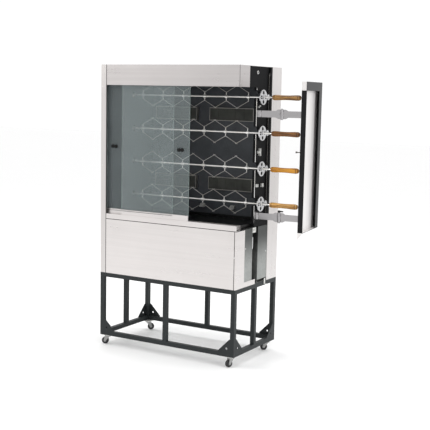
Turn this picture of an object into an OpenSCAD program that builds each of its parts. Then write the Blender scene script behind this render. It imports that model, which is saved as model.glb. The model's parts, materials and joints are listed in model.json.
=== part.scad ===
// Four-spit gas rotisserie oven on a wheeled stand, shown with its side door swung out.
// Units are millimetres, +Z is up, the front faces -Y. The origin is on the ground,
// under the middle of the cabinet. Inside the modules X is counted from the cabinet's
// left side and Y from its front, and cab() moves that to the middle.

/* [Cabinet] */
// width of the cabinet across the front
cab_w = 1100; // [900:1:1500]
// depth of the cabinet, front to back
cab_d = 590; // [560:1:800]
// thickness of the sheet metal
sheet = 2; // [1.5:0.1:3]
// height of the closed base under the glass
base_h = 389; // [300:1:500]
// height of the sill that carries the glass
sill_h = 35; // [30:1:50]
// height of the cooking opening, sill to hood
open_h = 896; // [860:1:1100]
// height of the hood over the opening
hood_h = 139; // [120:1:200]
// width of the left front post
post_w = 47; // [30:1:80]
// depth of the base's white return on the right side
base_return = 118; // [90:1:140]
// front edge of the open slot in the base's right side
slot_y0 = 228; // [215:1:240]
// rear edge of that slot
slot_y1 = 305; // [290:1:330]
// depth of the sill and of the glass track in the hood
track_d = 50; // [50:1:70]

/* [Stand] */
// height of the stand, ground to cabinet
stand_h = 528; // [440:1:650]
// side of the square stand tube
tube = 30; // [25:1:40]
// height of the bottom rail's underside over the ground
rail_z = 73; // [70:1:90]
// leg length of the corner gussets
gusset_leg = 90; // [60:1:120]
// gusset sheet thickness
gusset_t = 3; // [2:0.5:5]

/* [Casters] */
// caster wheel diameter
wheel_d = 50; // [40:1:52]
// caster wheel width
wheel_w = 20; // [14:1:26]
// trail from swivel axis to axle
trail = 20; // [14:1:24]
// axle diameter
axle_d = 8; // [6:0.5:10]
// swivel stem diameter
stem_d = 10; // [8:0.5:12]
// swivel axis from the cabinet's two outer faces
caster_in = 40; // [38:1:60]

/* [Spits] */
// lowest spit axis over the top of the sill
spit_rise = 118; // [108:1:160]
// vertical pitch of the four spits
spit_pitch = 238; // [200:1:250]
// spit axis from the cabinet's front
spit_y = 310; // [300:1:330]
// spit rod diameter
rod_d = 12; // [8:0.5:14]
// fork collar diameter
collar_d = 22; // [18:0.5:26]
// fork collar length
collar_w = 18; // [12:1:30]
// first fork collar from the cabinet's left side
collar_x0 = 139; // [130:1:170]
// fork wire diameter
wire_d = 3; // [2.5:0.5:6]
// height of a fork's straight stem, from the axis
stem_r = 29; // [22:1:40]
// height where two forks' wires cross, from the axis
cross_r = 76; // [60:1:90]
// handle length
handle_l = 204; // [150:1:204]
// handle largest diameter
handle_d = 37; // [28:1:42]
// drive disc diameter
disc_d = 100; // [90:1:104]
// drive disc thickness
disc_t = 6; // [4:0.5:8]
// holes in the drive disc
disc_hole_d = 24; // [14:1:28]

/* [Drive] */
// friction roller radius
roller_r = 19; // [14:0.5:22]
// chain loop's inner half width
loop_r = 13; // [12:0.5:16]
// chain thickness
chain_t = 5; // [4:0.5:7]
// chain width
chain_w = 6; // [5:0.5:8]
// motor's sprocket below the top of the cabinet
motor_drop = 57; // [48:1:60]
// idler's sprocket over the top of the sill
idler_rise = 33; // [25:1:40]
// radius of the rollers' own sprockets
small_pitch_r = 20; // [16:0.5:22]
// gear plate thickness
plate_t = 3; // [2:0.5:4]
// gear plate's front edge from the cabinet's front
plate_y0 = 247; // [235:1:260]

/* [Glass] */
// width of one sliding pane
pane_w = 550; // [450:1:700]
// glass thickness
glass_t = 5; // [4:0.5:5]
// thickness of the pane's bottom channel
trim_t = 8; // [7:0.5:8]
// centre plane of the front pane, from the cabinet's front
front_y = 10.5; // [10:0.5:12]
// distance between the two panes' planes
pane_apart = 16; // [15:0.5:18]
// rear pane's left edge at rest
rear_x = 36; // [30:1:60]
// front pane's left edge at rest
front_x = 173; // [60:1:400]

/* [Burners] */
// height of a burner frame
burner_h = 92; // [70:1:100]
// gap between the left and the right burner
burner_gap = 105; // [60:1:160]
// depth of a burner's box
burner_t = 26; // [20:1:30]
// width of a burner's rim
burner_rim = 4; // [3:0.5:8]
// lower burners' underside over the lowest spit axis
burner_lo = 48; // [40:1:80]
// upper burners' underside over the third spit axis
burner_hi = 66; // [40:1:80]

/* [Side door] */
// door length
door_l = 350; // [300:1:355]
// door height
door_h = 985; // [900:1:1000]
// door tray depth
door_t = 34; // [25:1:40]
// door turn from parallel to the side, degrees
door_turn = 8; // [4:0.5:8]
// length of one arm, axis to axis
arm_l = 160; // [150:1:164]
// direction of the arms from square to the side, degrees
arm_turn = 4; // [0:0.5:6]
// arm bar height
arm_h = 43; // [30:1:50]
// arm bar thickness
arm_t = 6; // [4:0.5:8]
// knuckle diameter
knuckle_d = 24; // [20:0.5:26]
// arm pin diameter
pin_d = 10; // [8:0.5:12]
// length of the outer arms, knee axis to door
outer_l = 133; // [125:1:145]
// length of the door's pull
pull_l = 38; // [20:1:45]
// lower arm height over the top of the sill
arm_rise = 45; // [38:1:48]
// height between the two arms
arm_apart = 679; // [640:1:690]

/* [Clearances] */
// gap all round between a shaft and its bore
run = 0.05; // [0.02:0.01:0.1]
// gap between moving faces
gap = 0.3; // [0.2:0.05:0.5]
// side play of a pane in its track
play = 0.5; // [0.3:0.05:0.8]

/* [Hidden] */
$fn = 32;
base_z = stand_h;
sill_z = base_z + base_h;
open_z = sill_z + sill_h;
hood_z = open_z + open_h;
top_z = hood_z + hood_h;
mid_leg_x = cab_w/2 - tube/2;
mid_leg_y = cab_d/2 - tube/2;
plate_x = cab_w - 8;
chain_x = plate_x + plate_t + 2;
disc_x = chain_x + chain_w + 1.5;
roller_y = spit_y + disc_d/2 + gap + roller_r;
sprocket_r = loop_r - gap;
small_r = small_pitch_r - gap;
loop_y = roller_y + small_pitch_r + chain_t + loop_r;
col_y = loop_y + loop_r + chain_t + 3.7;
handle_x = disc_x + 75.5;
wall_x = post_w + 10;
rear_y = cab_d - 30;
rear_pane_y = front_y + pane_apart;
liner_t = 1.5;
pan_t = 4;
spit_z0 = open_z + spit_rise;
top_spit_z = spit_z0 + 3*spit_pitch;
ceil_z = top_spit_z + cross_r + 28;
motor_z = top_z - motor_drop;
idler_z = open_z + idler_rise;
arm_z0 = open_z + arm_rise;
arm_z1 = arm_z0 + arm_apart;
burner_x0 = wall_x + 40;
burner_l = (plate_x - 174 - burner_x0 - burner_gap)/2;
burner_z0 = spit_z0 + burner_lo;
burner_z1 = spit_z0 + 2*spit_pitch + burner_hi;
tile_p = (burner_l - 2*burner_rim)/5;
knob_z = open_z + 474;
arm_x = plate_x + 22;
arm_y = plate_y0 + 4;
knee_x = arm_x + arm_l*cos(arm_turn);
knee_y = arm_y + arm_l*sin(arm_turn);
outer_turn = arm_turn + 3;
door_z = sill_z - 12;
collars = 6;
collar_p = (plate_x - 96 - collar_x0)/(collars - 1);

steel_c = [0.80, 0.79, 0.78];
dark_c = [0.16, 0.17, 0.18];
black_c = [0.10, 0.11, 0.12];
galv_c = [0.60, 0.63, 0.61];
chrome_c = [0.82, 0.82, 0.83];
glass_c = [0.75, 0.82, 0.80, 0.35];
wood_c = [0.66, 0.43, 0.20];
tile_c = [0.42, 0.44, 0.36];
rubber_c = [0.12, 0.12, 0.12];

module cab() {
  translate([-cab_w/2, -cab_d/2, 0]) children();
}

module box(x0, x1, y0, y1, z0, z1) {
  translate([x0, y0, z0]) cube([x1 - x0, y1 - y0, z1 - z0]);
}

// a round bar along X, from x0 to x1
module bar_x(x0, x1, y, z, d, n = 32) {
  translate([x0, y, z]) rotate([0, 90, 0]) cylinder(d = d, h = x1 - x0, $fn = n);
}

module bar_z(x, y, z0, z1, d, n = 32) {
  translate([x, y, z0]) cylinder(d = d, h = z1 - z0, $fn = n);
}

// a round bar in the plane across Y, between two points given as X and Z
module wire(x0, z0, x1, z1, y) {
  len = sqrt((x1 - x0)*(x1 - x0) + (z1 - z0)*(z1 - z0));
  translate([x0, y, z0]) rotate([0, atan2(x1 - x0, z1 - z0), 0])
    cylinder(d = wire_d, h = len, $fn = 14);
}

/* ---- stand ---- */

module ring(z) {
  box(0, cab_w, 0, tube, z, z + tube);
  box(0, cab_w, cab_d - tube, cab_d, z, z + tube);
  box(0, tube, tube, cab_d - tube, z, z + tube);
  box(cab_w - tube, cab_w, tube, cab_d - tube, z, z + tube);
}

module leg(x, y) {
  box(x, x + tube, y, y + tube, rail_z + tube, stand_h - tube);
}

module stand_frame() {
  color(dark_c) cab() {
    ring(rail_z);
    ring(stand_h - tube);
    leg(0, 0);
    leg(cab_w - tube, 0);
    leg(0, cab_d - tube);
    leg(cab_w - tube, cab_d - tube);
    leg(mid_leg_x, 0);
    leg(mid_leg_x, cab_d - tube);
    leg(0, mid_leg_y);
    leg(cab_w - tube, mid_leg_y);
  }
}

// a triangular plate standing across Y, its square corner at the origin
module gusset() {
  translate([0, gusset_t, 0]) rotate([90, 0, 0]) linear_extrude(gusset_t) difference() {
    polygon([[0, 0], [gusset_leg, 0], [gusset_leg, 6], [6, gusset_leg], [0, gusset_leg]]);
    translate([26, 26]) circle(d = 13, $fn = 24);
  }
}

module corner_gussets() {
  z = rail_z + tube;
  color(dark_c) cab() {
    translate([tube, 0, z]) gusset();
    translate([tube, cab_d - gusset_t, z]) gusset();
    translate([cab_w - tube, 0, z]) mirror([1, 0, 0]) gusset();
    translate([cab_w - tube, cab_d - gusset_t, z]) mirror([1, 0, 0]) gusset();
    translate([gusset_t, tube, z]) rotate([0, 0, 90]) gusset();
    translate([cab_w, tube, z]) rotate([0, 0, 90]) gusset();
    translate([0, cab_d - tube, z]) rotate([0, 0, -90]) gusset();
    translate([cab_w - gusset_t, cab_d - tube, z]) rotate([0, 0, -90]) gusset();
  }
}

/* ---- casters ---- */

module at_caster(sx, sy) {
  translate([sx*(cab_w/2 - caster_in), sy*(cab_d/2 - caster_in), 0]) children();
}

module caster_plate_one() {
  translate([-34, -34, rail_z - 5]) cube([68, 68, 5]);
  bar_z(0, 0, rail_z - 19, rail_z - 5, stem_d);
  bar_z(0, 0, rail_z - 21, rail_z - 17, stem_d + 7);
}

module caster_plates() {
  color(galv_c) {
    at_caster(-1, -1) caster_plate_one();
    at_caster(1, -1) caster_plate_one();
    at_caster(-1, 1) caster_plate_one();
    at_caster(1, 1) caster_plate_one();
  }
}

// the side cheek's outline, X along the trail and Y up from the axle
module cheek_2d() {
  union() {
    circle(d = 18, $fn = 24);
    polygon([[-9, 0], [9, 0], [1, rail_z - 13 - wheel_d/2], [-34, rail_z - 13 - wheel_d/2]]);
  }
}

module fork_one() {
  difference() {
    bar_z(0, 0, rail_z - 16.7, rail_z - 5 - gap, 44);
    bar_z(0, 0, rail_z - 20, rail_z, stem_d + 2*run);
  }
  for (s = [-1, 1]) {
    translate([trail, s*(wheel_w/2 + 2.5) + 1.5, wheel_d/2])
      rotate([90, 0, 0]) linear_extrude(3) cheek_2d();
  }
  translate([trail, wheel_w/2 + 6, wheel_d/2]) rotate([90, 0, 0])
    cylinder(d = axle_d, h = wheel_w + 12, $fn = 24);
}

module wheel_one() {
  translate([trail, wheel_w/2, wheel_d/2]) rotate([90, 0, 0]) difference() {
    cylinder(d = wheel_d, h = wheel_w, $fn = 40);
    translate([0, 0, -1]) cylinder(d = axle_d + 2*run, h = wheel_w + 2, $fn = 24);
    translate([0, 0, wheel_w - 2]) difference() {
      cylinder(d = wheel_d - 14, h = 4, $fn = 32);
      translate([0, 0, -1]) cylinder(d = axle_d + 8, h = 6, $fn = 24);
    }
  }
}

module caster_fork_fl() { color(chrome_c) at_caster(-1, -1) rotate([0, 0, 200]) fork_one(); }
module caster_fork_fr() { color(chrome_c) at_caster(1, -1) rotate([0, 0, 250]) fork_one(); }
module caster_fork_bl() { color(chrome_c) at_caster(-1, 1) rotate([0, 0, 35]) fork_one(); }
module caster_fork_br() { color(chrome_c) at_caster(1, 1) rotate([0, 0, 215]) fork_one(); }
module caster_wheel_fl() { color(rubber_c) at_caster(-1, -1) rotate([0, 0, 200]) wheel_one(); }
module caster_wheel_fr() { color(rubber_c) at_caster(1, -1) rotate([0, 0, 250]) wheel_one(); }
module caster_wheel_bl() { color(rubber_c) at_caster(-1, 1) rotate([0, 0, 35]) wheel_one(); }
module caster_wheel_br() { color(rubber_c) at_caster(1, 1) rotate([0, 0, 215]) wheel_one(); }

/* ---- base and casing ---- */

module base_front_panel() {
  color(steel_c) cab() {
    box(post_w, cab_w, 0, sheet, base_z, sill_z);
    box(cab_w - sheet, cab_w, sheet, base_return, base_z, sill_z);
    box(cab_w - sheet, cab_w, base_return, slot_y0 + 44, base_z, base_z + 34);
  }
}

module base_floor() {
  color(galv_c) cab() box(sheet, cab_w - 2*sheet, sheet, cab_d - sheet, base_z, base_z + sheet);
}

module base_side_strips() {
  x1 = cab_w - sheet;
  x0 = x1 - sheet;
  zb = base_z + sheet;
  color(galv_c) cab() {
    box(x0, x1, base_return - 18, slot_y0, zb, sill_z);
    box(x0 - 36, x0, slot_y0 - sheet, slot_y0, zb, sill_z);
    box(x0, x1, slot_y1, col_y, zb + 20, sill_z);
    box(x0 - 36, x0, slot_y1, slot_y1 + sheet, zb, sill_z);
  }
}

module glass_sill() {
  d = trim_t + 2*play;
  h = sill_h;
  y1 = front_y - d/2;
  y2 = rear_pane_y - d/2;
  g = 15;
  color(steel_c) cab() translate([post_w, 0, sill_z]) rotate([90, 0, 90])
    linear_extrude(cab_w - post_w) union() {
      square([track_d, sheet]);
      square([sheet, h]);
      translate([track_d - sheet, 0]) square([sheet, h]);
      translate([0, h - sheet]) square([y1, sheet]);
      translate([y1 - sheet, g - sheet]) square([sheet, h - g + sheet]);
      translate([y1 - sheet, g - sheet]) square([d + 2*sheet, sheet]);
      translate([y1 + d, g - sheet]) square([sheet, h - g + sheet]);
      translate([y1 + d, h - sheet]) square([y2 - y1 - d, sheet]);
      translate([y2 - sheet, g - sheet]) square([sheet, h - g + sheet]);
      translate([y2 - sheet, g - sheet]) square([d + 2*sheet, sheet]);
      translate([y2 + d, g - sheet]) square([sheet, h - g + sheet]);
      translate([y2 + d, h - sheet]) square([track_d - y2 - d, sheet]);
    }
}

module left_casing() {
  color(steel_c) cab() {
    box(0, sheet, 0, cab_d, base_z, top_z);
    box(sheet, post_w, 0, sheet, base_z, top_z);
  }
}

module hood() {
  d = glass_t + 2*play;
  y1 = front_y - d/2;
  y2 = rear_pane_y - d/2;
  g = 22;
  color(steel_c) cab() {
    box(post_w, cab_w, 0, sheet, hood_z, top_z);
    box(cab_w - sheet, cab_w, sheet, plate_y0 - 114, hood_z, top_z);
    translate([post_w, 0, hood_z]) rotate([90, 0, 90])
      linear_extrude(cab_w - sheet - post_w) union() {
        translate([sheet, 0]) square([y1 - sheet, sheet]);
        translate([y1 - sheet, 0]) square([sheet, g + sheet]);
        translate([y1 - sheet, g]) square([d + 2*sheet, sheet]);
        translate([y1 + d, 0]) square([sheet, g + sheet]);
        translate([y1 + d, 0]) square([y2 - y1 - d, sheet]);
        translate([y2 - sheet, 0]) square([sheet, g + sheet]);
        translate([y2 - sheet, g]) square([d + 2*sheet, sheet]);
        translate([y2 + d, 0]) square([sheet, g + sheet]);
        translate([y2 + d, 0]) square([track_d - y2 - d, sheet]);
      }
  }
}

module top_cover() {
  color(steel_c) cab() box(sheet, cab_w - sheet, sheet, cab_d - sheet, top_z - sheet, top_z);
}

module rear_casing() {
  color(galv_c) cab() difference() {
    box(sheet, cab_w - sheet, cab_d - sheet, cab_d, base_z, top_z);
    box(cab_w - 195, cab_w - 115, cab_d - 5, cab_d + 5, base_z + 180, base_z + 264);
    for (x = [150 : 40 : cab_w - 150]) {
      box(x, x + 14, cab_d - 5, cab_d + 5, hood_z + 30, hood_z + 100);
    }
  }
}

module right_column() {
  color(steel_c) cab() {
    box(cab_w - sheet, cab_w, col_y, cab_d, base_z, top_z);
    box(plate_x - 6, cab_w - sheet, col_y, col_y + sheet, base_z + sheet, top_z - sheet);
  }
}

// the notch a spit is laid into, from the plate's front edge
module notch(z) {
  w = rod_d + 2*run;
  translate([plate_x - 30, 0, 0]) rotate([90, 0, 90]) linear_extrude(60) union() {
    translate([spit_y, z]) circle(d = w, $fn = 32);
    translate([plate_y0 - 20, z - w/2]) square([spit_y - plate_y0 + 20, w]);
    polygon([[plate_y0 - 20, z], [plate_y0 + 42, z], [plate_y0, z + 46],
      [plate_y0 - 20, z + 46]]);
  }
}

module gear_plate() {
  color(black_c) cab() difference() {
    union() {
      box(plate_x, plate_x + plate_t, plate_y0, col_y, sill_z, top_z - sheet);
      box(plate_x, plate_x + plate_t, plate_y0 - 122, plate_y0, hood_z, top_z - sheet);
      box(plate_x - 18, plate_x, plate_y0, plate_y0 + 2, sill_z + pan_t, hood_z);
      box(plate_x + plate_t, disc_x + 2, col_y - 2, col_y, open_z, top_z - sheet);
      box(disc_x, disc_x + 2, loop_y - 6, col_y - 2, open_z, top_z - sheet);
    }
    for (i = [0 : 3]) {
      notch(spit_z0 + i*spit_pitch);
      bar_x(plate_x - 5, plate_x + 10, roller_y, spit_z0 + i*spit_pitch, 8 + 2*run);
    }
    bar_x(plate_x - 5, plate_x + 10, loop_y, motor_z, 14);
    bar_x(plate_x - 5, plate_x + 10, loop_y, idler_z, 8 + 2*run);
    bar_x(plate_x - 5, plate_x + 10, plate_y0 + 5, top_z - 42, 15);
  }
}

module chamber_liner() {
  x0 = wall_x - liner_t;
  x1 = plate_x - 6;
  zb = sill_z + pan_t;
  color(black_c) cab() {
    box(x0, wall_x, track_d, rear_y + liner_t, zb, ceil_z);
    box(wall_x, x1, rear_y, rear_y + liner_t, zb, ceil_z);
    box(x0, x1, track_d, rear_y + liner_t, ceil_z, ceil_z + liner_t);
    box(x1, plate_x, track_d, col_y - 8.5, ceil_z, ceil_z + liner_t);
    box(wall_x, plate_x, track_d, track_d + liner_t, hood_z, ceil_z);
    box(sheet, x0, track_d, track_d + liner_t, zb, ceil_z + liner_t);
    box(x1 - liner_t, x1, rear_y + liner_t, cab_d - sheet, zb, ceil_z);
    box(x1, plate_x, col_y - 10, col_y - 8.5, zb, ceil_z);
    box(x1 - liner_t, x1, col_y - 10, rear_y, zb, ceil_z);
  }
}

module drip_pan() {
  color(black_c) cab() {
    box(sheet, plate_x, track_d, col_y, sill_z, sill_z + pan_t);
    box(sheet, plate_x - 6, col_y, cab_d - sheet, sill_z, sill_z + pan_t);
    difference() {
      box(wall_x + 8, plate_x - 24, track_d + 12, rear_y - 10, sill_z + pan_t, sill_z + 26);
      box(wall_x + 10, plate_x - 26, track_d + 14, rear_y - 12, sill_z + 6, sill_z + 30);
    }
  }
}

module spit_sockets() {
  color(chrome_c) cab() for (i = [0 : 3]) {
    z = spit_z0 + i*spit_pitch;
    difference() {
      union() {
        bar_x(wall_x, wall_x + 3, spit_y, z, 46);
        bar_x(wall_x, wall_x + 22, spit_y, z, 24);
      }
      bar_x(wall_x + 4, wall_x + 30, spit_y, z, rod_d + 2*run);
    }
  }
}

/* ---- burners ---- */

module burner_row(z0) {
  for (k = [0, 1]) {
    x0 = burner_x0 + k*(burner_l + burner_gap);
    difference() {
      box(x0, x0 + burner_l, rear_y - burner_t, rear_y, z0, z0 + burner_h);
      box(x0 + burner_rim, x0 + burner_l - burner_rim, rear_y - burner_t - 4, rear_y - burner_t + 6,
        z0 + burner_rim, z0 + burner_h - burner_rim);
    }
  }
}

module burners_upper() {
  color(galv_c) cab() burner_row(burner_z1);
}

module burners_lower() {
  color(galv_c) cab() burner_row(burner_z0);
}

module burner_tiles() {
  color(tile_c) cab() for (k = [0, 1]) for (z0 = [burner_z0, burner_z1]) for (n = [0 : 4]) {
    x0 = burner_x0 + k*(burner_l + burner_gap) + burner_rim + n*tile_p;
    box(x0 + 0.5, x0 + tile_p - 0.5, rear_y - burner_t + 2, rear_y - burner_t + 6,
      z0 + burner_rim + 0.5, z0 + burner_h - burner_rim - 0.5);
  }
}

/* ---- chain drive ---- */

module gear_motor() {
  x1 = plate_x - 26;
  color(galv_c) cab() {
    difference() {
      union() {
        box(x1 - 66, x1, loop_y - 40, loop_y + 40, motor_z - 36, motor_z + 36);
        bar_x(x1, plate_x, loop_y, motor_z, 26);
      }
      bar_x(x1 - 16, plate_x + 5, loop_y, motor_z, 10 + 2*run);
    }
    bar_x(x1 - 176, x1 - 66, loop_y, motor_z, 64);
  }
}

// the sprocket's outline: teeth that end short of the loop's inner side
module sprocket(x, y, z, r) {
  translate([x, y, z]) rotate([0, 90, 0]) difference() {
    cylinder(r = r, h = chain_w, $fn = 36);
    for (a = [0 : 60 : 300]) {
      rotate([0, 0, a]) translate([r*0.62, 0, -1]) cylinder(r = r*0.14, h = chain_w + 2, $fn = 14);
    }
  }
}

module motor_sprocket() {
  color(chrome_c) cab() {
    sprocket(chain_x, loop_y, motor_z, sprocket_r);
    bar_x(plate_x - 37, chain_x + chain_w + 0.8, loop_y, motor_z, 10);
  }
}

module chain_idler() {
  color(chrome_c) cab() {
    sprocket(chain_x, loop_y, idler_z, sprocket_r);
    bar_x(plate_x - 8, chain_x + chain_w + 0.8, loop_y, idler_z, 8);
    bar_x(plate_x - 8, plate_x - gap, loop_y, idler_z, 14);
  }
}

module drive_chain() {
  color(galv_c) cab() translate([chain_x, 0, 0]) rotate([90, 0, 90]) linear_extrude(chain_w)
    difference() {
      union() {
        translate([loop_y, motor_z]) circle(r = loop_r + chain_t, $fn = 48);
        translate([loop_y, idler_z]) circle(r = loop_r + chain_t, $fn = 48);
        translate([loop_y - loop_r - chain_t, idler_z])
          square([2*(loop_r + chain_t), motor_z - idler_z]);
      }
      translate([loop_y, motor_z]) circle(r = loop_r, $fn = 48);
      translate([loop_y, idler_z]) circle(r = loop_r, $fn = 48);
      translate([loop_y - loop_r, idler_z]) square([2*loop_r, motor_z - idler_z]);
    }
}

module roller_one(i) {
  z = spit_z0 + i*spit_pitch;
  color(chrome_c) cab() {
    sprocket(chain_x, roller_y, z, small_r);
    bar_x(chain_x + chain_w, disc_x, roller_y, z, 20);
    bar_x(disc_x, disc_x + disc_t, roller_y, z, 2*roller_r, 40);
    bar_x(plate_x - 8, disc_x + disc_t + 3, roller_y, z, 8);
    bar_x(plate_x - 8, plate_x - gap, roller_y, z, 14);
  }
}

module drive_roller_1() { roller_one(3); }
module drive_roller_2() { roller_one(2); }
module drive_roller_3() { roller_one(1); }
module drive_roller_4() { roller_one(0); }

/* ---- spits ---- */

module fork_wires(x, side) {
  m = collar_p/2 + 7;
  t = (cross_r - stem_r)/(collar_p/2);
  y = spit_y + side*wire_d*0.62;
  for (u = [-1, 1]) {
    wire(x, u*stem_r, x + side*m, u*(stem_r + t*m), y);
  }
}

module spit_one(i) {
  z = spit_z0 + i*spit_pitch;
  color(chrome_c) cab() translate([0, 0, z]) {
    bar_x(wall_x + 4.6, handle_x + 60, spit_y, 0, rod_d);
    for (k = [0 : collars - 1]) {
      x = collar_x0 + k*collar_p;
      bar_x(x - collar_w/2, x + collar_w/2, spit_y, 0, collar_d);
      translate([x, spit_y, -stem_r - 3]) cylinder(d = wire_d + 2.5, h = 2*stem_r + 6, $fn = 16);
      if (k > 0) fork_wires(x, -1);
      if (k < collars - 1) fork_wires(x, 1);
    }
  }
}

module spit_1() { spit_one(3); }
module spit_2() { spit_one(2); }
module spit_3() { spit_one(1); }
module spit_4() { spit_one(0); }

module disc_one(i) {
  z = spit_z0 + i*spit_pitch;
  color(chrome_c) cab() translate([disc_x, spit_y, z]) rotate([0, 90, 0]) difference() {
    union() {
      cylinder(d = disc_d, h = disc_t, $fn = 48);
      translate([0, 0, -5]) cylinder(d = 26, h = disc_t + 11, $fn = 32);
    }
    translate([0, 0, -10]) cylinder(d = rod_d + 2*run, h = 40, $fn = 32);
    for (a = [0 : 90 : 270]) {
      rotate([0, 0, a]) translate([30, 0, -10]) cylinder(d = disc_hole_d, h = 40, $fn = 28);
    }
  }
}

module drive_disc_1() { disc_one(3); }
module drive_disc_2() { disc_one(2); }
module drive_disc_3() { disc_one(1); }
module drive_disc_4() { disc_one(0); }

// turned handle: bulged ends, a waist and rounded tips
module handle_one(i) {
  z = spit_z0 + i*spit_pitch;
  r = handle_d/2;
  l = handle_l;
  color(wood_c) cab() translate([handle_x, spit_y, z]) rotate([0, 90, 0])
    rotate_extrude($fn = 36) polygon([[rod_d/2 + run, 0], [r*0.74, 0], [r*0.90, l*0.02],
      [r*0.98, l*0.06], [r, l*0.13], [r*0.96, l*0.22], [r*0.86, l*0.36], [r*0.84, l*0.5],
      [r*0.88, l*0.66], [r*0.97, l*0.80], [r, l*0.88], [r*0.96, l*0.95], [r*0.84, l*0.985],
      [r*0.6, l], [0, l], [0, 61], [rod_d/2 + run, 61]]);
}

module handle_1() { handle_one(3); }
module handle_2() { handle_one(2); }
module handle_3() { handle_one(1); }
module handle_4() { handle_one(0); }

/* ---- sliding glass ---- */

module pane_glass(x, y) {
  color(glass_c) cab()
    box(x, x + pane_w, y - glass_t/2, y + glass_t/2, open_z - 12, hood_z + 18);
}

// bottom channel, and a pair of flat knobs on the glass
module pane_trim(x, y, knob_x) {
  z0 = sill_z + 15 + gap;
  color(steel_c) cab() {
    difference() {
      box(x, x + pane_w, y - trim_t/2, y + trim_t/2, z0, open_z + 36);
      box(x - 1, x + pane_w + 1, y - glass_t/2, y + glass_t/2, open_z - 12, open_z + 40);
    }
    for (u = [-1, 1]) {
      translate([x + knob_x + u*13, y - glass_t/2, knob_z]) rotate([90, 0, 0])
        cylinder(d = 22, h = 9, $fn = 28);
    }
  }
}

module pane_rear() { pane_glass(rear_x, rear_pane_y); }
module pane_front() { pane_glass(front_x, front_y); }
module pane_rear_trim() { pane_trim(rear_x, rear_pane_y, 66); }
module pane_front_trim() { pane_trim(front_x, front_y, pane_w - 66); }

/* ---- side door on its folding arms ---- */

module knuckle(z0, z1, bore) {
  difference() {
    translate([0, 0, z0]) cylinder(d = knuckle_d, h = z1 - z0, $fn = 32);
    if (bore) translate([0, 0, z0 - 1]) cylinder(d = pin_d + 2*run, h = z1 - z0 + 2, $fn = 32);
  }
}

// an arm widens beside its knee, from the bar's height to the knuckles'
module flare() {
  x0 = knuckle_d/2 + 1.5;
  translate([0, arm_t/2, 0]) rotate([90, 0, 0]) linear_extrude(arm_t)
    polygon([[x0, -31], [x0 + 13, -31], [x0 + 30, -arm_h/2], [x0 + 30, arm_h/2],
      [x0 + 13, 31], [x0, 31]]);
}

module arm_brackets() {
  color(steel_c) cab() for (z = [arm_z0, arm_z1]) {
    translate([arm_x, arm_y, 0]) {
      knuckle(z - arm_h/2, z - 12 - gap, false);
      knuckle(z + 12 + gap, z + arm_h/2, false);
      bar_z(0, 0, z - 15, z + 15, pin_d);
    }
    for (s = [-1, 1]) {
      zz = z + s*(arm_h/4 + 6.2);
      box(plate_x + plate_t, arm_x - 7, arm_y - 3, arm_y + 3, zz - 4, zz + 4);
    }
    box(plate_x + plate_t, plate_x + plate_t + 3, arm_y - 4, arm_y + 30, z - arm_h/2, z + arm_h/2);
  }
}

module inner_arm(z) {
  color(steel_c) cab() translate([arm_x, arm_y, z]) rotate([0, 0, arm_turn]) {
    difference() {
      union() {
        translate([0, 0, -12]) cylinder(d = knuckle_d, h = 24, $fn = 32);
        translate([0, -arm_t/2, -12]) cube([22, arm_t, 24]);
        translate([16, -arm_t/2, -arm_h/2]) cube([arm_l - 36, arm_t, arm_h]);
        translate([arm_l, 0, 0]) mirror([1, 0, 0]) flare();
        translate([arm_l - 21, -arm_t/2, -31]) cube([20, arm_t, 19 - gap]);
        translate([arm_l - 21, -arm_t/2, 12 + gap]) cube([20, arm_t, 19 - gap]);
        translate([arm_l, 0, -31]) cylinder(d = knuckle_d, h = 19 - gap, $fn = 32);
        translate([arm_l, 0, 12 + gap]) cylinder(d = knuckle_d, h = 19 - gap, $fn = 32);
      }
      translate([0, 0, -40]) cylinder(d = pin_d + 2*run, h = 80, $fn = 32);
      translate([arm_l, 0, -40]) cylinder(d = pin_d + 2*run, h = 80, $fn = 32);
    }
  }
}

module inner_arm_upper() { inner_arm(arm_z1); }
module inner_arm_lower() { inner_arm(arm_z0); }

// outer arms with their knee pins and the feet that carry the door
module outer_arms() {
  color(steel_c) cab() {
    for (z = [arm_z0, arm_z1]) {
      translate([knee_x, knee_y, z]) rotate([0, 0, outer_turn]) {
        translate([0, 0, -12]) cylinder(d = knuckle_d, h = 24, $fn = 32);
        translate([0, 0, -37]) cylinder(d = pin_d, h = 74, $fn = 32);
        translate([0, 0, -37]) cylinder(d = pin_d + 6, h = 37 - 31 - gap, $fn = 32);
        translate([0, 0, 31 + gap]) cylinder(d = pin_d + 6, h = 3, $fn = 32);
        translate([0, -arm_t/2, -12]) cube([22, arm_t, 24]);
        translate([21, -arm_t/2, -arm_h/2]) cube([outer_l - 21, arm_t, arm_h]);
        flare();
      }
      at_door() translate([-3, 3, z - door_z - arm_h/2]) cube([3, 84, arm_h]);
    }
    translate([knee_x, knee_y, arm_z0]) {
      cylinder(d = pin_d - 2, h = 46, $fn = 24);
      translate([0, 0, 46]) cylinder(d = pin_d + 4, h = 3, $fn = 24);
    }
  }
}

// local frame of the door: origin at its near end's inner face, Y along its length
module at_door() {
  translate([knee_x, knee_y, 0]) rotate([0, 0, outer_turn]) translate([outer_l, 0, 0])
    rotate([0, 0, door_turn - outer_turn]) translate([2, -14, door_z]) children();
}

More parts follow.
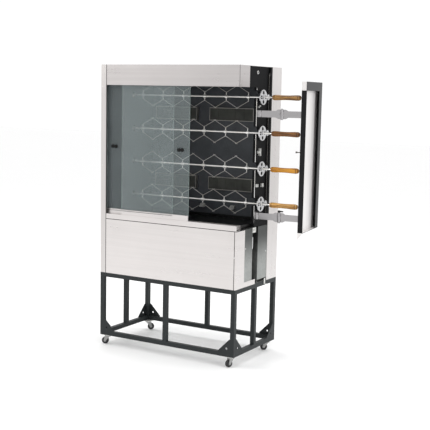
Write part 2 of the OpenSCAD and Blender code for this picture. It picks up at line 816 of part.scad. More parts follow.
// an open tray: the panel, four flanges and the lips along its top and bottom
module door_tray() {
  color(steel_c) cab() at_door() {
    difference() {
      cube([door_t, door_l, door_h]);
      translate([sheet, sheet, sheet]) cube([door_t, door_l - 2*sheet, door_h - 2*sheet]);
    }
    translate([door_t - sheet, sheet, door_h - 58]) cube([sheet, door_l - 2*sheet, 56]);
    translate([door_t - sheet, door_l - 60, sheet]) cube([sheet, 58, door_h - 60]);
    translate([0, 0, 0]) rotate([90, 0, 0]) translate([0, 0, -sheet]) linear_extrude(sheet)
      polygon([[0, 0], [0, -46], [door_t, 0]]);
  }
}

// round pull on the side that faces the cabinet while the door is swung out
module door_pull() {
  color(chrome_c) cab() at_door() translate([0, 32, open_z + 480 - door_z]) rotate([0, -90, 0]) {
    cylinder(d = 20, h = 3, $fn = 28);
    cylinder(d = 7, h = pull_l, $fn = 24);
    translate([0, 0, pull_l - 9]) cylinder(d = 13, h = 9, $fn = 28);
  }
}

module lock_lever() {
  z = arm_z0 + 34.3 + gap;
  color(rubber_c) cab() translate([knee_x, knee_y, z]) difference() {
    union() {
      cylinder(d = 18, h = 11, $fn = 28);
      translate([-9, -4, 3]) cube([37, 8, 8]);
    }
    translate([0, 0, -5]) cylinder(d = pin_d + 2*run, h = 5 + 37 - 34.3 - gap + gap, $fn = 28);
    translate([0, 0, -5]) cylinder(d = pin_d - 2 + 2*run, h = 30, $fn = 28);
  }
}

/* ---- small fittings ---- */

module screw_y(x, z) {
  translate([x, 0, z]) rotate([90, 0, 0]) cylinder(d1 = 9, d2 = 5, h = 2, $fn = 20);
}

module screw_x(x, y, z) {
  translate([x, y, z]) rotate([0, 90, 0]) cylinder(d1 = 9, d2 = 5, h = 2, $fn = 20);
}

// hooded tube ends low on the chamber's rear wall
module wall_hood(x, z) {
  translate([x - 17, rear_y, z]) rotate([90, 0, 90]) linear_extrude(34)
    polygon([[0, 0], [0, 26], [-6, 26], [-28, 4], [-28, 0]]);
}

module small_fittings() {
  px = plate_x + plate_t;
  y0 = plate_y0;
  zc = open_z + 468;
  zu = spit_z0 + spit_pitch/2 - 1;
  color(galv_c) cab() {
    for (z = [hood_z - 12, open_z + 338, base_z + 195]) screw_y(12, z);
    for (x = [382, 724, cab_w - 12]) screw_y(x, base_z + 214);
    for (z = [hood_z - 237, open_z + 176, base_z + 38]) screw_x(cab_w, col_y + 53, z);
    screw_x(cab_w - sheet, 134, base_z + 258);
    screw_x(cab_w - sheet, col_y - 14, base_z + 207);
    box(px, px + 10, y0 + 19, y0 + 37, zc - 9, zc + 9);
    box(px, px + 18, y0 + 37, y0 + 45, zc - 24, zc + 26);
    box(px, px + 14, y0 + 8, y0 + 12, zu, zu + 20);
    box(px, px + 14, y0 + 23, y0 + 27, zu, zu + 20);
    box(px, px + 3, y0 + 12, y0 + 23, zu, zu + 20);
    box(px, px + 12, y0 + 79, y0 + 89, zu - 4, zu + 20);
    box(px, px + 12, y0 + 92, y0 + 102, zu - 4, zu + 20);
    bar_x(px, px + 10, y0 + 19, arm_z1 + 43, 10, 24);
    bar_x(px, px + 10, y0 + 35, arm_z1 + 51, 10, 24);
    box(cab_w - sheet, cab_w + 1, slot_y0 - 6, slot_y0 + 40, sill_z - 34, sill_z);
    bar_x(cab_w + 1, cab_w + 6, slot_y0 + 8, sill_z - 17, 10, 24);
    bar_x(cab_w + 1, cab_w + 6, slot_y0 + 28, sill_z - 17, 10, 24);
    box(cab_w, cab_w + 3, col_y - 37, col_y - 19, stand_h - 20, stand_h + 18);
    box(cab_w, cab_w + 14, col_y - 37, col_y - 19, stand_h - 23, stand_h - 20);
    wall_hood(505, idler_z);
    wall_hood(755, idler_z);
  }
}

stand_frame();
corner_gussets();
caster_plates();
caster_fork_fl();
caster_fork_fr();
caster_fork_bl();
caster_fork_br();
caster_wheel_fl();
caster_wheel_fr();
caster_wheel_bl();
caster_wheel_br();
base_front_panel();
base_floor();
base_side_strips();
glass_sill();
left_casing();
hood();
top_cover();
rear_casing();
right_column();
gear_plate();
chamber_liner();
drip_pan();
spit_sockets();
burners_upper();
burners_lower();
burner_tiles();
gear_motor();
motor_sprocket();
chain_idler();
drive_chain();
drive_roller_1();
drive_roller_2();
drive_roller_3();
drive_roller_4();
spit_1();
spit_2();
spit_3();
spit_4();
drive_disc_1();
drive_disc_2();
drive_disc_3();
drive_disc_4();
handle_1();
handle_2();
handle_3();
handle_4();
pane_rear();
pane_rear_trim();
pane_front();
pane_front_trim();
arm_brackets();
inner_arm_upper();
inner_arm_lower();
outer_arms();
door_tray();
door_pull();
lock_lever();
small_fittings();
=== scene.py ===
# %% [markdown]
# # A rotisserie oven, dressed for the camera
# The oven's frame is a finished CAD model: sheet metal, spits, glass, drive and stand. It is
# loaded first and never moved. What Blender adds is what a maker would call the finish: the grain
# of the brushed sheet, the speckle of the enamel, and small turned or stamped parts, such as
# tyres, handles and chain links, that are easier to shape here than in CAD.

# %% Load the frame
import json
import math

import bmesh
import bpy
from mathutils import Matrix, Vector


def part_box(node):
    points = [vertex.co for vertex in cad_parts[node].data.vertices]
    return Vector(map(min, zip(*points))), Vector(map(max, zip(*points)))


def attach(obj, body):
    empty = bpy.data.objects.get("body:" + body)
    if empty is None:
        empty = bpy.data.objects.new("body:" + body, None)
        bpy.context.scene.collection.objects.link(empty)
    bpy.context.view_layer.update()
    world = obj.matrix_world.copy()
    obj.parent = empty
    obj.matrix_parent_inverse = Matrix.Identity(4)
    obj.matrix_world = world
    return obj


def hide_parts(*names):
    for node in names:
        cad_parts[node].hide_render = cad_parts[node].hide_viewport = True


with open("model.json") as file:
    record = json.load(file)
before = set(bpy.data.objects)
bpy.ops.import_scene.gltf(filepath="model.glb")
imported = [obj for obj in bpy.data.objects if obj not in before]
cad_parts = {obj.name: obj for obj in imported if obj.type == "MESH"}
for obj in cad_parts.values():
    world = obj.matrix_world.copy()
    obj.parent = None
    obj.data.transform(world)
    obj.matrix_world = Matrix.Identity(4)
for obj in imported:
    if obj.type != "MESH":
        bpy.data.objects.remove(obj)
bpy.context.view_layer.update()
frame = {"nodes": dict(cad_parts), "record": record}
nodes = frame["nodes"]
record_joints = {j["name"]: j for j in frame["record"]["behaviour"]["joints"]}

# %% [markdown]
# ## Camera, floor and light
# The oven stands in a white studio. The camera has a long lens at eye height, and looks down a
# little at the front and the right side together. A slight lens shift sets the oven in the frame.
# The floor is a plain pale sheet, and the light comes from big soft panels, because brushed steel
# shows whatever stands around it, and small lamps would draw hard spots on it.

# %% Camera
lens_place = Vector((3.4807, -5.5607, 1.7943))
turn, dip, roll = math.radians(30.65), math.radians(7.55), math.radians(1.14)
ahead = Vector((-math.sin(turn)*math.cos(dip), math.cos(turn)*math.cos(dip), -math.sin(dip)))
level = ahead.cross(Vector((0, 0, 1))).normalized()
upward = level.cross(ahead)
right = level*math.cos(roll) + upward*math.sin(roll)
top = upward*math.cos(roll) - level*math.sin(roll)
camera_data = bpy.data.cameras.new("camera")
camera = bpy.data.objects.new("camera", camera_data)
bpy.context.collection.objects.link(camera)
camera.matrix_world = Matrix.Translation(lens_place) @ Matrix((right, top, -ahead)).transposed().to_4x4()
camera_data.lens = 78.61
camera_data.sensor_width = 36
camera_data.shift_x = 0.0082
camera_data.shift_y = 0.0097
camera_data.clip_end = 60
bpy.context.scene.camera = camera
print("camera at", tuple(round(v, 2) for v in lens_place))

# %% Soft panels of light
def light_panel(name, place, aim, size, power, tint=(1, 1, 1)):
    data = bpy.data.lights.new(name, "AREA")
    data.shape = "RECTANGLE"
    data.size, data.size_y = size
    data.energy = power
    data.color = tint
    lamp = bpy.data.objects.new(name, data)
    bpy.context.collection.objects.link(lamp)
    way = Vector(aim) - Vector(place)
    lamp.matrix_world = Matrix.Translation(place) @ way.to_track_quat("-Z", "Y").to_matrix().to_4x4()
    return lamp


light_panel("key panel", (-4.6, -3.4, 3.8), (0, 0, 1.2), (2.6, 2.6), 90, (1, 0.985, 0.96))
light_panel("right panel", (4.6, 0.4, 2.2), (0.5, 0, 1.1), (2.4, 3.0), 60, (0.97, 0.985, 1))
light_panel("top panel", (0, 0.4, 4.6), (0, 0, 1), (3.4, 2.6), 60)
sky = bpy.data.worlds.new("studio")
sky.use_nodes = True
sky.node_tree.nodes["Background"].inputs["Color"].default_value = (1.0, 1.0, 1.0, 1)
sky.node_tree.nodes["Background"].inputs["Strength"].default_value = 1.04
bpy.context.scene.world = sky
bpy.context.scene.view_settings.view_transform = "Standard"

# %% [markdown]
# ## Writing materials as sums
# A material is a small sum: a base colour, plus a streak, minus a stain. Blender keeps that sum as
# wired nodes, which are slow to read back as text. The two helpers below let it be written as it
# would be said. A `Wire` is one output, and adding or multiplying wires makes Math nodes. A
# `Finish` is one material being built, and its `node` method makes any other node.

# %% Wires and finishes
class Wire:
    def __init__(self, finish, socket):
        self.finish, self.socket = finish, socket

    def math(self, kind, a, b=None, c=None):
        given = {i: v for i, v in enumerate((a, b, c)) if v is not None}
        return self.finish.node("ShaderNodeMath", {"operation": kind}, given)

    def __add__(self, other):
        return self.math("ADD", self, other)

    def __radd__(self, other):
        return self.math("ADD", other, self)

    def __sub__(self, other):
        return self.math("SUBTRACT", self, other)

    def __rsub__(self, other):
        return self.math("SUBTRACT", other, self)

    def __mul__(self, other):
        return self.math("MULTIPLY", self, other)

    def __rmul__(self, other):
        return self.math("MULTIPLY", other, self)

    def __pow__(self, other):
        return self.math("POWER", self, other)

    def __gt__(self, other):
        return self.math("GREATER_THAN", self, other)

    def __lt__(self, other):
        return self.math("LESS_THAN", self, other)

    def smooth(self, low, high):
        return self.finish.node("ShaderNodeMapRange", {"interpolation_type": "SMOOTHSTEP"},
                                {"Value": self, "From Min": low, "From Max": high})


class Finish:
    def __init__(self, name):
        self.mat = bpy.data.materials.new(name)
        self.mat.use_nodes = True
        self.tree = self.mat.node_tree
        self.tree.nodes.clear()
        self.place = self.node("ShaderNodeTexCoord", out="Object")

    def node(self, kind, settings=None, inputs=None, out=0):
        made = self.tree.nodes.new(kind)
        for key, value in (settings or {}).items():
            if key == "stops":
                ramp = made.color_ramp
                while len(ramp.elements) < len(value):
                    ramp.elements.new(0.5)
                for stop, (at, shade) in zip(ramp.elements, value):
                    stop.position = at
                    stop.color = (*shade, 1)
            else:
                setattr(made, key, value)
        for key, value in (inputs or {}).items():
            if isinstance(value, Wire):
                self.tree.links.new(value.socket, made.inputs[key])
            elif isinstance(value, tuple) and len(value) == 3 and made.inputs[key].type == "RGBA":
                made.inputs[key].default_value = (*value, 1)
            else:
                made.inputs[key].default_value = value
        return Wire(self, made.outputs[out])

    def stretched(self, scale, turn=(0, 0, 0), shift=(0, 0, 0)):
        return self.node("ShaderNodeMapping", None,
                         {"Vector": self.place, "Scale": scale, "Rotation": turn, "Location": shift})

    def noise(self, scale, detail=3.0, rough=0.5, where=None):
        wanted = {"Vector": where or self.place, "Scale": scale, "Detail": detail, "Roughness": rough}
        return self.node("ShaderNodeTexNoise", None, wanted)

    def blend(self, mask, first, second):
        return self.node("ShaderNodeMix", {"data_type": "RGBA"},
                         {"Factor": mask, 6: first, 7: second}, out=2)

    def part(self, where, number):
        """One number of a place: 0 is X, 1 is Y, 2 is Z."""
        return self.node("ShaderNodeSeparateXYZ", None, {"Vector": where}, out=number)

    def bump(self, height, depth, strength=1.0):
        return self.node("ShaderNodeBump", None,
                         {"Height": height, "Distance": depth, "Strength": strength})

    def skin(self, **sockets):
        names = {"color": "Base Color", "rough": "Roughness", "metal": "Metallic", "normal": "Normal",
                 "alpha": "Alpha", "coat": "Coat Weight", "coat_rough": "Coat Roughness",
                 "ior": "IOR", "spread": "Anisotropic", "sheen": "Sheen Weight",
                 "pass_light": "Transmission Weight", "gloss": "Specular IOR Level"}
        shader = self.node("ShaderNodeBsdfPrincipled", None, {names[k]: v for k, v in sockets.items()})
        self.node_out(shader)
        return self.mat

    def node_out(self, shader):
        end = self.tree.nodes.new("ShaderNodeOutputMaterial")
        self.tree.links.new(shader.socket, end.inputs["Surface"])


print("helpers ready")

# %% [markdown]
# ## Brushed stainless sheet
# The casing is satin sheet: a belt leaves fine parallel scratches, so a reflection is drawn out
# across them. Three scales make it read as steel and not as grey paint. Hair-fine grain goes into
# the bump, broader streaks into the roughness, and wide faint clouds, as hands and cleaning
# leave, into both the colour and the gloss. The grain follows how a sheet is laid, so the finish
# takes the direction as a choice.

# %% Brushed stainless
def brushed_steel(name, grain, tone, rough=0.30, metal=0.86):
    f = Finish(name)
    fine = f.noise(1.0, 2.0, 0.6, f.stretched(tuple(9 if g else 900 for g in grain)))
    streak = f.noise(1.0, 3.0, 0.55, f.stretched(tuple(1.1 if g else 70 for g in grain)))
    cloud = f.noise(2.6, 4.0, 0.55)
    wipe = f.noise(9.0, 3.0, 0.6)
    dull = tuple(t*0.93 for t in tone)
    mask = streak*0.55 + cloud*0.45
    color = f.blend(mask.smooth(0.30, 0.72), dull, tone)
    gloss = streak*0.10 + cloud*0.10 + wipe*0.06 + (rough - 0.13)
    height = fine*0.6 + streak*0.4
    return f.skin(color=color, rough=gloss, metal=metal, normal=f.bump(height, 0.00025, 0.35))


sheet_tone = (0.67, 0.64, 0.63)
steel_across = brushed_steel("brushed stainless, across", (1, 1, 0), sheet_tone)
# The hood and the post take the same sheet in darker tones: painted shade, not a darker metal.
steel_hood_painted_shade = brushed_steel("brushed stainless, hood", (1, 1, 0), (0.52, 0.495, 0.49))
steel_post_painted_shade = brushed_steel("brushed stainless, post", (0, 0, 1), (0.60, 0.575, 0.565))
steel_column = brushed_steel("brushed stainless, column", (0, 0, 1), (0.68, 0.655, 0.645))
steel_flat = brushed_steel("brushed stainless, flat", (1, 0, 0), sheet_tone, 0.33)
steel_bars = brushed_steel("stainless bar", (1, 1, 0), (0.38, 0.37, 0.375), 0.30)
print("brushed finishes made")

# %% [markdown]
# ## Galvanised sheet
# The inner strips, the back and the floor of the base are galvanised. Zinc freezes on the steel in
# flat crystals called spangle, each a slightly different grey. Voronoi cells are the right
# pattern, because crystals that grow from scattered seeds meet in just such straight borders.
# Two sizes of cell are mixed, and dull patches of white oxide go over them. The strips beside the
# slot are painted darker towards the top: painted shade.

# %% Galvanised
def zinc(name, tone, spangle=70.0, darkening=None):
    f = Finish(name)
    big = f.node("ShaderNodeTexVoronoi", None, {"Vector": f.place, "Scale": spangle}, out="Color")
    small = f.node("ShaderNodeTexVoronoi", None, {"Vector": f.place, "Scale": spangle*2.6}, out="Color")
    big_grey = f.node("ShaderNodeSeparateColor", None, {"Color": big})
    small_grey = f.node("ShaderNodeSeparateColor", None, {"Color": small}, out=1)
    oxide = f.noise(6.0, 4.0, 0.6).smooth(0.48, 0.75)
    mask = big_grey*0.6 + small_grey*0.4
    light = tuple(min(1.0, t*1.12) for t in tone)
    color = f.blend(mask, tuple(t*0.84 for t in tone), light)
    color = f.blend(oxide*0.16, color, (0.62, 0.64, 0.64))
    # Painted shade: the strips darken towards the top.
    if darkening:
        height = f.part(f.place, 2)
        painted_shade = (height + f.noise(5.0, 3.0, 0.5)*0.06).smooth(*darkening)
        color = f.blend(painted_shade*0.88, color, (0.035, 0.038, 0.037))
    return f.skin(color=color, rough=mask*0.16 + oxide*0.15 + 0.34, metal=0.80,
                  normal=f.bump(mask, 0.0002, 0.25))


zinc_sheet = zinc("galvanised sheet", (0.27, 0.278, 0.268))
zinc_strip = zinc("galvanised strips, sooty at the top", (0.30, 0.31, 0.30), 70.0, (0.70, 0.90))
zinc_small = zinc("zinc plated parts", (0.66, 0.66, 0.64), 160.0)
zinc_fork = zinc("zinc plated caster forks", (0.33, 0.33, 0.325), 160.0)
burner_steel = zinc("heat-darkened burner steel", (0.30, 0.29, 0.27), 120.0)
print("zinc finishes made")

# %% [markdown]
# ## Enamels and paint
# The chamber is lined with vitreous enamel: black glass fired onto steel, flecked with grey. The
# flecks are round spots of mixed size, so they come from the distance to scattered points and a
# threshold that noise varies. The drive plate has plain black paint, with the soft dimples that
# sprayed paint dries with. The stand is charcoal, and worn a little lighter where it is handled.

# %% Enamels and paint
def speckled_enamel(name, ground, fleck, density=0.55, shine=0.35):
    f = Finish(name)
    size = f.noise(40.0, 2.0, 0.6)
    spot = f.node("ShaderNodeTexVoronoi", None, {"Vector": f.place, "Scale": 105.0}, out="Distance")
    fine = f.node("ShaderNodeTexVoronoi", None, {"Vector": f.place, "Scale": 240.0}, out="Distance")
    flecks = (spot < (size*density)) + (fine < (size*density*0.8))*0.6
    grease = f.noise(3.2, 5.0, 0.6).smooth(0.40, 0.75)
    base = f.blend(grease*0.55, ground, tuple(g*1.9 + 0.012 for g in ground))
    color = f.blend(flecks*0.75, base, fleck)
    return f.skin(color=color, rough=grease*0.22 + 0.34, gloss=shine, coat=0.04, coat_rough=0.25,
                  normal=f.bump(f.noise(60.0, 2.0, 0.5) + flecks*0.15, 0.0006, 0.3))


def sprayed_paint(name, tone, worn, rough, shine, dimple=260.0):
    f = Finish(name)
    peel = f.noise(dimple, 2.0, 0.5)
    scuff = f.noise(14.0, 6.0, 0.7, f.stretched((1, 1, 0.35))).smooth(0.60, 0.78)
    dust = f.noise(2.2, 4.0, 0.55)
    color = f.blend(scuff*0.35 + dust*0.20, tone, worn)
    return f.skin(color=color, rough=scuff*0.14 + dust*0.10 + rough, gloss=shine,
                  normal=f.bump(peel, 0.0005, 0.35))


liner_enamel = speckled_enamel("speckled enamel", (0.037, 0.041, 0.047), (0.24, 0.25, 0.265), 0.16)
pan_enamel = speckled_enamel("drip pan enamel", (0.006, 0.006, 0.006), (0.10, 0.10, 0.10), 0.20, 0.12)
drive_paint = sprayed_paint("black drive plate", (0.006, 0.006, 0.0065), (0.013, 0.014, 0.016),
                            0.45, 0.05)
stand_paint = sprayed_paint("charcoal stand paint", (0.020, 0.0235, 0.0245), (0.045, 0.049, 0.051),
                            0.42, 0.18)
print("enamels made")

# %% [markdown]
# ## Polished rods, oiled chain, wood, clay, rubber and glass
# The spits are round bar, drawn and polished, so the grain runs along them and heat leaves a
# straw tint. Chain is dark and oily. Handles are turned hardwood: rings stretched along the
# handle give long grain, and every handle has its own colour, because they are replaced one
# by one. A burner's clay tile is pierced with rows of fine holes. The panes are clear glass
# with a faint grey-green body, and a film of grease that dulls them in patches.

# %% Bright and dark metals
def polished_bar(name, tone, rough):
    f = Finish(name)
    draw = f.noise(1.0, 3.0, 0.5, f.stretched((3, 260, 260)))
    heat = f.noise(5.0, 3.0, 0.5).smooth(0.45, 0.72)
    color = f.blend(heat*0.45, tone, (tone[0]*0.86, tone[1]*0.76, tone[2]*0.60))
    return f.skin(color=color, rough=draw*0.10 + heat*0.10 + rough, metal=0.95,
                  normal=f.bump(draw, 0.0002, 0.3))


def turned_disc(name, tone):
    f = Finish(name)
    patch = f.noise(24.0, 3.0, 0.6)
    ring = f.noise(600.0, 1.0, 0.5)
    color = f.blend(patch.smooth(0.35, 0.7), tone, tuple(t*0.72 for t in tone))
    return f.skin(color=color, rough=patch*0.18 + 0.16, metal=0.92, normal=f.bump(ring, 0.0001, 0.25))


def spit_finish(name, axis_y, axis_z):
    """Bright bar along the axis, and duller, heat-stained wire away from it."""
    f = Finish(name)
    draw = f.noise(1.0, 3.0, 0.5, f.stretched((3, 260, 260)))
    heat = f.noise(7.0, 3.0, 0.5).smooth(0.40, 0.70)
    across = f.part(f.place, 1) - axis_y
    upward = f.part(f.place, 2) - axis_z
    away = (across*across + upward*upward).smooth(0.00013, 0.0006)
    wire = f.blend(heat, (0.56, 0.55, 0.53), (0.40, 0.37, 0.32))
    bar = f.blend(heat*0.4, (0.90, 0.89, 0.87), (0.76, 0.70, 0.60))
    return f.skin(color=f.blend(away, bar, wire),
                  rough=draw*0.10 + away*0.14 + 0.20, metal=0.62 - away*0.2,
                  normal=f.bump(draw, 0.0002, 0.3))


spit_steels = []
for number in range(1, 5):
    _, axis_y, axis_z = record_joints["spit_%d_spin" % number]["pos_m"]
    spit_steels.append(spit_finish("spit bar and forks %d" % number, axis_y, axis_z))
socket_steel = polished_bar("polished socket", (0.60, 0.59, 0.57), 0.16)
disc_steel = turned_disc("drive disc steel", (0.62, 0.62, 0.63))
chrome_plate = polished_bar("bright plate", (0.80, 0.80, 0.81), 0.08)
oiled_steel = turned_disc("oiled chain steel", (0.20, 0.19, 0.18))
print("bars and discs made")

# %% Wood, clay, rubber and moulded plastic
def turned_wood(name, pale, deep, start, length):
    f = Finish(name)
    along = (f.part(f.place, 0) - start)*(1/length)
    # Thin rings near each end and the two ends of the handle are painted darker: painted shade.
    near_ring, far_ring = along - 0.075, along - 0.925
    painted_shade_rings = 2 - (near_ring*near_ring).smooth(0.00004, 0.0003) - (far_ring*far_ring).smooth(0.00004, 0.0003)
    tip = along.smooth(0.955, 0.995) + (1 - along.smooth(0.005, 0.04))
    warp = f.noise(6.0, 3.0, 0.55, f.stretched((1, 8, 8)))
    ring = f.noise(1.0, 4.0, 0.65, f.stretched((6, 95, 95)))
    pore = f.noise(1.0, 2.0, 0.6, f.stretched((40, 900, 900)))
    grain = (ring*0.75 + warp*0.45).smooth(0.42, 0.78)
    color = f.blend(grain, deep, pale)
    color = f.blend(pore.smooth(0.60, 0.72)*0.5, color, tuple(d*0.5 for d in deep))
    color = f.blend(painted_shade_rings*0.75 + tip*0.45, color, tuple(d*0.35 for d in deep))
    return f.skin(color=color, rough=grain*0.10 + 0.34, coat=0.08, coat_rough=0.22, gloss=0.35,
                  normal=f.bump(pore + ring*0.5, 0.0004, 0.35))


def pierced_clay(name, tone):
    f = Finish(name)
    hole = f.node("ShaderNodeTexVoronoi", {"distance": "EUCLIDEAN"},
                  {"Vector": f.place, "Scale": 330.0, "Randomness": 0.0}, out="Distance")
    # The holes are not cut in the mesh: each is painted near black, painted shade inside the hole.
    hole_painted_shade = 1 - hole.smooth(0.22, 0.36)
    darkening = f.noise(12.0, 5.0, 0.6)
    color = f.blend(darkening.smooth(0.35, 0.70), tone, tuple(t*0.70 for t in tone))
    color = f.blend(hole_painted_shade*0.8, color, (0.02, 0.02, 0.018))
    return f.skin(color=color, rough=darkening*0.1 + 0.80, normal=f.bump(1 - hole_painted_shade, 0.001, 0.6))


def tyre_rubber(name, tone):
    f = Finish(name)
    grit = f.noise(420.0, 3.0, 0.6)
    dust = f.noise(22.0, 4.0, 0.6).smooth(0.45, 0.75)
    color = f.blend(dust*0.5, tone, tuple(t*2.4 + 0.02 for t in tone))
    return f.skin(color=color, rough=dust*0.15 + 0.62, normal=f.bump(grit, 0.0004, 0.4))


def moulded(name, tone, rough=0.38):
    f = Finish(name)
    haze = f.noise(30.0, 3.0, 0.5)
    color = f.blend(haze, tone, tuple(t*1.5 + 0.008 for t in tone))
    return f.skin(color=color, rough=haze*0.14 + rough, gloss=0.10,
                  normal=f.bump(f.noise(700.0, 1.0, 0.5), 0.0002, 0.3))


wood_tones = [("walnut brown", (0.42, 0.22, 0.060), (0.085, 0.034, 0.008)),
              ("red brown", (0.27, 0.110, 0.022), (0.060, 0.020, 0.004)),
              ("honey", (0.70, 0.325, 0.030), (0.28, 0.100, 0.007)),
              ("amber brown", (0.74, 0.42, 0.125), (0.21, 0.090, 0.020))]
woods = []
for number, (tone_name, pale, deep) in enumerate(wood_tones, 1):
    low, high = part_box("handle_%d" % number)
    woods.append(turned_wood("turned handle, " + tone_name, pale, deep, low[0], high[0] - low[0]))
burner_clay = pierced_clay("burner clay", (0.055, 0.057, 0.050))
wheel_rubber = tyre_rubber("caster tyre", (0.012, 0.012, 0.012))
black_plastic_and_painted_shade = moulded("black moulding", (0.006, 0.006, 0.006), 0.5)
grey_plastic = moulded("grey wheel centre", (0.045, 0.045, 0.047), 0.45)
print("wood, clay, rubber and mouldings made")

# %% Glass
def pane_finish(name, body):
    f = Finish(name)
    film = f.noise(2.2, 2.0, 0.5, f.stretched((1, 1, 0.6)))
    wipe = f.noise(1.0, 1.0, 0.4, f.stretched((2, 2, 9)))
    haze = film.smooth(0.35, 0.75)*0.6 + wipe.smooth(0.4, 0.7)*0.4
    return f.skin(color=(0.33, 0.385, 0.39), rough=haze*0.04 + 0.02, alpha=haze*0.03 + body,
                  gloss=0.5, ior=1.5)


rear_glass = pane_finish("rear sliding glass", 0.115)
front_glass = pane_finish("front sliding glass", 0.165)
edge = Finish("polished glass edge")
edge_tint = edge.blend(edge.noise(18.0, 2.0, 0.5), (0.16, 0.20, 0.195), (0.24, 0.285, 0.275))
glass_edge = edge.skin(color=edge_tint, rough=edge.noise(90.0, 2.0, 0.5)*0.15 + 0.25, coat=0.1,
                       gloss=0.2)
print("glass made")

# %% [markdown]
# ## The side door's two faces
# The door is a shallow tray. Its broad sheet is satin, and its narrow flanges and lips are painted
# near black, a painted reflection of dark surroundings, so they read as black lines round a pale
# panel. Both are one sheet in the CAD model, so one finish covers it, and a mask picks the flanges:
# the place is turned to the door's own length and depth, and limits on those two numbers mark them.

# %% Door finish
near_flange, far_flange, lip_start = 0.0008, 0.3465, 0.0316
panel_foot, panel_head = 0.906, 0.057
corner_inset, folded_back = 0.03367, math.radians(8)


def door_finish(name, corner, turn, top):
    f = Finish(name)
    local = f.node("ShaderNodeVectorRotate", {"rotation_type": "Z_AXIS"},
                   {"Vector": f.place, "Center": corner, "Angle": -turn})
    depth = f.part(local, 0) - corner[0]
    length = f.part(local, 1) - corner[1]
    height = f.part(local, 2)
    lips = (depth > lip_start)
    near = (length < near_flange)*(height < (top - panel_head))*(height > panel_foot)
    far = (length > far_flange)
    # The flanges and lips get near black colour: a painted reflection of dark surroundings.
    painted_dark_reflection = lips + near*(1 - lips) + far*(1 - lips)
    streak = f.noise(1.0, 3.0, 0.55, f.stretched((70, 70, 1.1)))
    cloud = f.noise(2.6, 4.0, 0.55)
    steel = f.blend((streak*0.5 + cloud*0.5).smooth(0.3, 0.72), (0.68, 0.66, 0.65), (0.78, 0.76, 0.75))
    color = f.blend(painted_dark_reflection, steel, (0.010, 0.010, 0.011))
    metal = 0.35 - painted_dark_reflection*0.35
    return f.skin(color=color, rough=0.34 - painted_dark_reflection*0.10 + cloud*0.08, metal=metal, gloss=0.12,
                  normal=f.bump(streak, 0.00025, 0.3))


door_low, door_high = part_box("door_tray")
near_corner = (door_high[0] - corner_inset, door_low[1], 0)
door_steel = door_finish("door sheet", near_corner, folded_back, door_high[2])
print("door finish made")

# %% [markdown]
# ## Dressing the frame
# Every CAD part keeps its mesh and takes a finish. The list goes by what a part is made of and by
# how its sheet was laid: posts and the column have upright grain, and the hood, the base and the
# sill have it across.

# %% Dress the CAD parts
dress = {
    steel_across: ["base_front_panel", "glass_sill", "pane_rear_trim", "pane_front_trim"],
    steel_hood_painted_shade: ["hood"],
    steel_post_painted_shade: ["left_casing"],
    steel_column: ["right_column"],
    door_steel: ["door_tray"],
    steel_flat: ["top_cover"],
    steel_bars: ["arm_brackets", "inner_arm_upper", "inner_arm_lower", "outer_arms"],
    zinc_sheet: ["base_floor", "rear_casing", "gear_motor"],
    zinc_strip: ["base_side_strips"],
    zinc_small: ["caster_plates", "small_fittings"],
    burner_steel: ["burners_upper", "burners_lower"],
    liner_enamel: ["chamber_liner"],
    pan_enamel: ["drip_pan"],
    drive_paint: ["gear_plate"],
    stand_paint: ["stand_frame", "corner_gussets"],
    socket_steel: ["spit_sockets"],
    disc_steel: ["drive_disc_1", "drive_disc_2", "drive_disc_3", "drive_disc_4", "drive_roller_1",
                 "drive_roller_2", "drive_roller_3", "drive_roller_4", "motor_sprocket", "chain_idler"],
    zinc_fork: ["caster_fork_fl", "caster_fork_fr", "caster_fork_bl", "caster_fork_br"],
    burner_clay: ["burner_tiles"],
    rear_glass: ["pane_rear"],
    front_glass: ["pane_front"],
    black_plastic_and_painted_shade: ["lock_lever"],
    oiled_steel: ["drive_chain", "door_pull"],
    wheel_rubber: ["caster_wheel_fl", "caster_wheel_fr", "caster_wheel_bl", "caster_wheel_br"],
}
for number, wood in enumerate(woods, 1):
    dress[wood] = ["handle_%d" % number]
    dress[spit_steels[number - 1]] = ["spit_%d" % number]
for finish, names in dress.items():
    for name in names:
        part = nodes[name]
        if not part.material_slots:
            part.data.materials.append(finish)
        for held in part.material_slots:
            held.material = finish
undressed = set(nodes) - {n for names in dress.values() for n in names}
print("undressed:", sorted(undressed))

# %% [markdown]
# ## A bench for small parts
# Small parts start as a bmesh, are shaped by its operators, and end as a mesh whose place is in
# its points, so the object itself stays at the origin as the CAD parts do.

# %% Bench helpers
def finish_part(bm, name, finish, body, smooth=35, rounds=0):
    bmesh.ops.recalc_face_normals(bm, faces=bm.faces)
    mesh = bpy.data.meshes.new(name)
    bm.to_mesh(mesh)
    bm.free()
    mesh.materials.append(finish)
    part = bpy.data.objects.new(name, mesh)
    bpy.context.collection.objects.link(part)
    if smooth:
        mesh.shade_smooth()
        mesh.set_sharp_from_angle(angle=math.radians(smooth))
    if rounds:
        soft = part.modifiers.new("soften", "SUBSURF")
        soft.levels = rounds
        soft.render_levels = rounds
    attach(part, body)
    return part


def turn_profile(bm, outline, steps, to_place, closed=True):
    """Spins an outline of (radius, along) points round Z, then carries it to its place."""
    points = [bm.verts.new((r, 0, a)) for r, a in outline]
    edges = [bm.edges.new(pair) for pair in zip(points, points[1:])]
    if closed:
        edges.append(bm.edges.new((points[-1], points[0])))
    made = bmesh.ops.spin(bm, geom=points + edges, cent=(0, 0, 0), axis=(0, 0, 1),
                          angle=math.tau, steps=steps, use_merge=True, use_duplicate=False)
    bmesh.ops.remove_doubles(bm, verts=bm.verts, dist=0.000002)
    if to_place is not None:
        bmesh.ops.transform(bm, matrix=to_place, verts=bm.verts)
    return made


